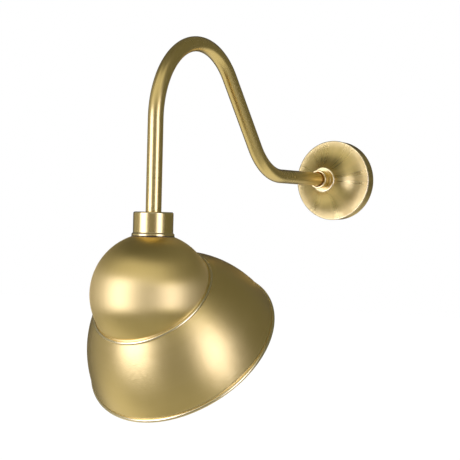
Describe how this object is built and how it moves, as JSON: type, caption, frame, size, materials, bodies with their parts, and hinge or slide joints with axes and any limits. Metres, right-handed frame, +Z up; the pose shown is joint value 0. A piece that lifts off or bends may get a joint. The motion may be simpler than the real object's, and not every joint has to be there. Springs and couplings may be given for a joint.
{
  "type": "gooseneck wall sconce",
  "caption": "Brass gooseneck wall light: a bent pipe arm from a round trumpet canopy carries a dome and bell shade that swivels about the arm’s end and is tilted back at the wall.",
  "frame": {"origin": "centre of the wall face, on the axis of the arm where it leaves the wall", "axes": "+Y into the wall, +Z up; the light stands out from the wall towards -Y"},
  "size_m": [0.2769, 0.6513, 0.5313],
  "materials": {
    "brass": "satin, finely brushed, raw",
    "zinc_steel": "zinc plated",
    "green_screw": "green plated",
    "lead_sleeve": "woven heat sleeve",
    "black_plastic": "moulded",
    "fibre": "pressed fibre",
    "rubber": "matt",
    "porcelain": "glazed porcelain",
    "contact_metal": "bright stamped",
    "frosted_glass": "frosted",
    "cap_metal": "rolled, satin",
    "black_glass": "black glass"
  },
  "bodies": {
    "wall_arm": {"mounting_plate": "zinc_steel", "ground_screw": "green_screw", "rear_locknut": "zinc_steel", "lock_washer": "zinc_steel", "front_locknut": "zinc_steel", "gooseneck_arm": "brass", "wire_bushing": "black_plastic", "arm_lead": "lead_sleeve", "swivel_stud": "brass", "friction_washer": "fibre"},
    "canopy_set": {"canopy": "brass", "canopy_collar": "brass", "collar_screw": "brass"},
    "shade": {"fitter_cup": "brass", "fitter_screw": "brass", "neck_gasket": "rubber", "shade_dome": "brass", "shade_skirt": "brass", "clamp_ring": "brass", "socket_plate": "zinc_steel", "plate_screws": "zinc_steel", "socket_body": "porcelain", "socket_screws": "zinc_steel", "terminal_screws": "brass", "screw_shell": "contact_metal", "centre_contact": "contact_metal", "socket_lead": "lead_sleeve"},
    "lamp": {"bulb_glass": "frosted_glass", "bulb_cap": "cap_metal", "bulb_insulator": "black_glass", "bulb_contact": "contact_metal"}
  },
  "joints": [
    {"name": "shade_swivel", "type": "hinge", "parent": "wall_arm", "child": "shade", "pos_m": [0, -0.56758, -0.07573], "axis": [0, 0, 1], "range_deg": [-170, 170]},
    {"name": "canopy_slide", "type": "slide", "parent": "wall_arm", "child": "canopy_set", "axis": [0, -1, 0], "range_m": [0, 0.12]},
    {"name": "bulb_out", "type": "slide", "parent": "shade", "child": "lamp", "axis": [0, 0, -1], "range_m": [0, 0.06]}
  ]
}
